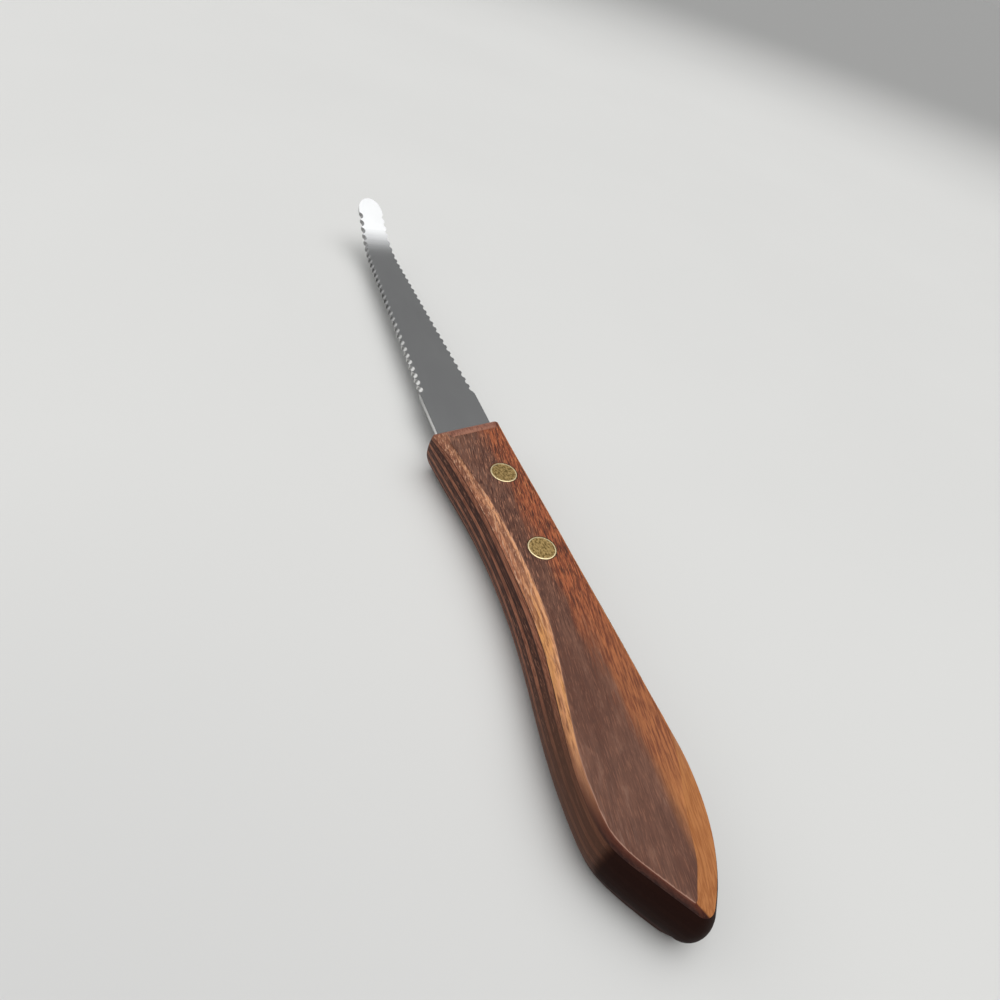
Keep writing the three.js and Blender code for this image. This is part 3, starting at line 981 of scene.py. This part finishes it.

# The underside tone is painted shade on the bevels that face the table.
DEEP_STRIP, SOFT_STRIP, UNDERSIDE_SHADE = tone(112, 66, 50), tone(150, 98, 78), tone(66, 40, 32)
sanded = blend(tree, ramp(tree, facing["Y"], -0.04, -0.16), sanded, gold)
strip = blend(tree, streaky, DEEP_STRIP, SOFT_STRIP)
at_front = times(tree, ramp(tree, facing["X"], 0.05, 0.14), ramp(tree, along, -9.0, -6.0))
sanded = blend(tree, at_front, sanded, strip)
sanded = blend(tree, ramp(tree, spot["Z"], 0.5, -0.5), sanded, UNDERSIDE_SHADE)
print("bevels with", len(tree.nodes), "nodes")

# %% [markdown]
# The normal's height tells a bevel from the flat top, and the fibres fray that border too. Between
# the two runs a rounded rim, with a painted highlight on the finger side, strongest towards the
# butt. Fibres and pores also give the bump, and the fibres the roughness.

# %% Top and bevels together
# A painted highlight along the rounded rim on the finger side.
RIM_HIGHLIGHT = tone(190, 148, 126)
FRAYING = 0.16
frayed = times(tree, times(tree, calc(tree, "SUBTRACT", fibre, 0.5), crisp), FRAYING)
tilt = plus(tree, calc(tree, "ABSOLUTE", facing["Z"]), frayed)
slope = calc(tree, "MAXIMUM", ramp(tree, tilt, 0.99, 0.94), at_front)
shade = blend(tree, slope, top_tone, sanded)
rim = times(tree, ramp(tree, tilt, 0.92, 0.965), ramp(tree, tilt, 1.0, 0.985))
rim_highlight_share = ramp(tree, along, -70.0, -88.0, 0.15, 0.5)
rim_highlight_share = times(tree, rim_highlight_share, ramp(tree, facing["Y"], 0.0, 0.05))
shade = blend(tree, times(tree, rim, rim_highlight_share), shade, RIM_HIGHLIGHT)
bump = bumps(tree, calc(tree, "SUBTRACT", fibre, grooves), 0.25, 0.06)
rough = ramp(tree, fibre, 0.2, 0.8, 0.5, 0.62)
surface(tree, {"Base Color": shade, "Roughness": rough, "Normal": bump, "Specular IOR Level": 0.25})
print("face veneers with", len(tree.nodes), "nodes")

# %% [markdown]
# The inner veneers show only their edges. Two sorts alternate, a darker and a lighter one, with
# fibres along the knife and a dark line of glue at every joint. The joints lie at equal steps of
# height on both sides of the core, so a fraction of the height finds them. On the butt the saw has
# cut across the fibres, and the faces that look back from the butt are painted almost black:
# partly the end grain's own dark tone, partly painted shade.

# %% Inner veneers
PLY_STEP = 0.96
HALF_CORE = 0.525
DUST, GLUE = tone(150, 102, 80), tone(38, 20, 16)
# The butt's end-grain tone is partly its own dark colour and partly painted shade.
BELLY_STAIN, END_GRAIN_AND_SHADE = tone(80, 49, 33), tone(33, 17, 14)


def inner_veneer(name, deep, pale, seed):
    finish, tree = new_finish(name)
    mm, spot, facing = knife_place(tree)
    fibre = streaks(tree, mm, 6.0, 0.22, seed)
    dust = streaks(tree, mm, 3.0, 0.18, seed + 5.0, detail=1.0)
    cloud = streaks(tree, mm, 9.0, 1.2, seed + 9.0)
    shade = blend(tree, ramp(tree, fibre, 0.38, 0.6), deep, pale)
    shade = blend(tree, ramp(tree, cloud, 0.46, 0.66, 0.0, 0.5), shade, deep)
    shade = blend(tree, ramp(tree, dust, 0.54, 0.68, 0.0, 0.6), shade, DUST)
    from_core = calc(tree, "SUBTRACT", calc(tree, "ABSOLUTE", spot["Z"]), HALF_CORE)
    in_ply = calc(tree, "FRACT", calc(tree, "DIVIDE", from_core, PLY_STEP))
    joint = calc(tree, "ABSOLUTE", calc(tree, "SUBTRACT", in_ply, 0.5))
    shade = blend(tree, ramp(tree, joint, 0.28, 0.44, 0.0, 0.85), shade, GLUE)
    shade = blend(tree, ramp(tree, spot["X"], -54.0, -80.0, 0.0, 0.78), shade, BELLY_STAIN)
    # Faces that look back from the butt: the end grain's dark tone plus painted shade.
    end_grain_and_shade = ramp(tree, facing["X"], -0.24, -0.42)
    shade = blend(tree, times(tree, end_grain_and_shade, 0.95), shade, END_GRAIN_AND_SHADE)
    gloss = ramp(tree, end_grain_and_shade, 0.0, 1.0, 0.2, 0.04)
    bump = bumps(tree, fibre, 0.3, 0.08)
    surface(tree, {"Base Color": shade, "Roughness": 0.6, "Normal": bump, "Specular IOR Level": gloss})
    print(name, "with", len(tree.nodes), "nodes")
    return finish


woods = {
    "face_wood": face_wood,
    "dark_wood": inner_veneer("dark_veneer", tone(50, 25, 18), tone(80, 46, 33), 2.0),
    "light_wood": inner_veneer("light_veneer", tone(102, 58, 41), tone(150, 96, 71), 41.0),
}

# %% [markdown]
# Now every piece gets the finish of its CAD node's slot in the record and is attached to the body
# that carries it, and the CAD node that it stands for is hidden. The knife has no joints, so its one
# body is called root.

# %% Give each piece its finish and its body
slot_of = {part["node"]: part["material_slot"] for part in frame["record"]["subparts"]}
finishes = {"blade_steel": steel, "rivet_brass": brass, **woods}
for node, piece in {"blade": blade, **veneers, **rivet_halves}.items():
    piece.data.materials.clear()
    piece.data.materials.append(finishes[slot_of[node]])
    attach(piece, "root")
    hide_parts(node)
    print(piece.name, "stands for", node)

# %% [markdown]
# ## The table, the light and the camera
# The knife lies on a large matt table. Far off the table falls into shade, so its colour darkens
# with the distance from the knife, and at last it matches the wall behind it. Close to the camera,
# a patch of it lies in faint shade. Distances here are in metres.

# %% Table
TABLE_SIZE = 100.0
NEAR_TONE, PALE_TONE = tone(212, 212, 210), tone(217, 217, 215)
FAR_TONE = tone(151, 151, 150)
FADE_START, FADE_END = 0.45, 1.1
SHADED_TONE = tone(200, 200, 199)
SHADED_PLACE = (-0.13, 0.10, 0.0)
SHADED_REACH = 0.15
deselect()
bpy.ops.mesh.primitive_plane_add(size=TABLE_SIZE, location=(0, 0, 0))
table = bpy.context.object
table.name = "table"
laminate, tree = new_finish("pale_table")
where = add(tree, "TexCoord").outputs["Object"]
cloud = add(tree, "TexNoise", {"Vector": where, "Scale": 9.0, "Detail": 3.0}).outputs["Fac"]
near = blend(tree, cloud, NEAR_TONE, PALE_TONE)
far = add(tree, "VectorMath", {0: where}, operation="LENGTH").outputs["Value"]
shade = blend(tree, ramp(tree, far, FADE_START, FADE_END), near, FAR_TONE)
beside = add(tree, "VectorMath", {0: where, 1: SHADED_PLACE}, operation="DISTANCE").outputs["Value"]
shade = blend(tree, ramp(tree, beside, SHADED_REACH, 0.0), shade, SHADED_TONE)
surface(tree, {"Base Color": shade, "Roughness": 0.7})
table.data.materials.append(laminate)
print("table laid")

# %% [markdown]
# The room is light all round, so shadows are faint and soft. Its brightest part is a wide ceiling
# light a little to the right, which whitens the turned-up tip, and a second glow on the left lights
# the blade's near edge. Three parts of it are darker than the rest: the end behind the camera, which
# leaves the butt in shade, the wall on the handle's back side, and a patch ahead that the blade
# mirrors. Each is a soft step of the angle to its middle. The camera itself sees a plain grey that
# is as bright as the room's own level, so the metal mirrors the same grey.

# %% Light
ROOM_LEVEL = 0.375
GLOWS = [
    # way to its middle, cosines of the angles where it starts and is full, strength
    ((-1.0, 0.2, 0.0), 0.1, 0.8, -0.28),     # end of the room behind the camera
    ((-0.1, -0.16, 0.98), 0.66, 1.0, 2.1),   # ceiling light
    ((0.85, -0.3, 0.42), 0.8, 0.97, -0.06),  # patch ahead
    ((0.6, 0.75, 0.25), 0.55, 0.95, 0.65),   # window on the left
    ((-0.1, -1.0, 0.1), 0.3, 0.9, -0.16),    # wall on the back side
]
BACKDROP_TONE = tone(163, 163, 162)
world = bpy.data.worlds.new("studio")
bpy.context.scene.world = world
world.use_nodes = True
tree = world.node_tree
tree.nodes.clear()
ray_way = add(tree, "TexCoord").outputs["Generated"]


def glow(middle_way, start, full, strength):
    sockets = {0: ray_way, 1: Vector(middle_way).normalized()}
    nearness = add(tree, "VectorMath", sockets, operation="DOT_PRODUCT").outputs["Value"]
    return ramp(tree, nearness, start, full, 0.0, strength)


level = ROOM_LEVEL
for part in GLOWS:
    level = plus(tree, glow(*part), level)
room = add(tree, "Background", {"Color": (1, 1, 1, 1), "Strength": level})
backdrop = add(tree, "Background", {"Color": BACKDROP_TONE, "Strength": 1.0})
by_camera = add(tree, "LightPath").outputs["Is Camera Ray"]
seen = add(tree, "MixShader", {0: by_camera, 1: room.outputs[0], 2: backdrop.outputs[0]})
add(tree, "OutputWorld", {"Surface": seen.outputs[0]})
print("room with", len(GLOWS), "bright and dark parts")

# %% [markdown]
# A faint, very wide sun from above adds a little direction to the light, and a soft contact shadow
# under the blade.

# %% Lamp
LAMP_STRENGTH = 0.25
LAMP_SPREAD = math.radians(60)
LAMP_WAY = Vector((-0.1, -0.05, 0.99))
bpy.ops.object.light_add(type="SUN")
lamp = bpy.context.object
lamp.data.energy = LAMP_STRENGTH
lamp.data.angle = LAMP_SPREAD
lamp.rotation_euler = LAMP_WAY.to_track_quat("Z", "Y").to_euler()
print("lamp of strength", LAMP_STRENGTH)

# %% [markdown]
# The camera stands close behind the butt and looks forward and down along the knife, turned about
# its own axis as a hand-held one is. Its place and lens were worked out from the photograph.

# %% Camera
CAMERA_PLACE = (-0.11412, 0.06014, 0.10454)
VIEW_LINE = Vector((0.62652, -0.41457, -0.66000))
ROLL = math.radians(19.2)
SENSOR_WIDTH = 36
LENS = 25.92
NEAREST = 0.005
bpy.ops.object.camera_add(location=CAMERA_PLACE)
camera = bpy.context.object
turn = VIEW_LINE.to_track_quat("-Z", "Y") @ Quaternion((0, 0, 1), ROLL)
camera.rotation_euler = turn.to_euler()
camera.data.sensor_width = SENSOR_WIDTH
camera.data.lens = LENS
camera.data.clip_start = NEAREST
bpy.context.scene.camera = camera
bpy.context.scene.view_settings.view_transform = "Standard"
print("camera", round(Vector(CAMERA_PLACE).length / MM), "mm from the middle of the knife")
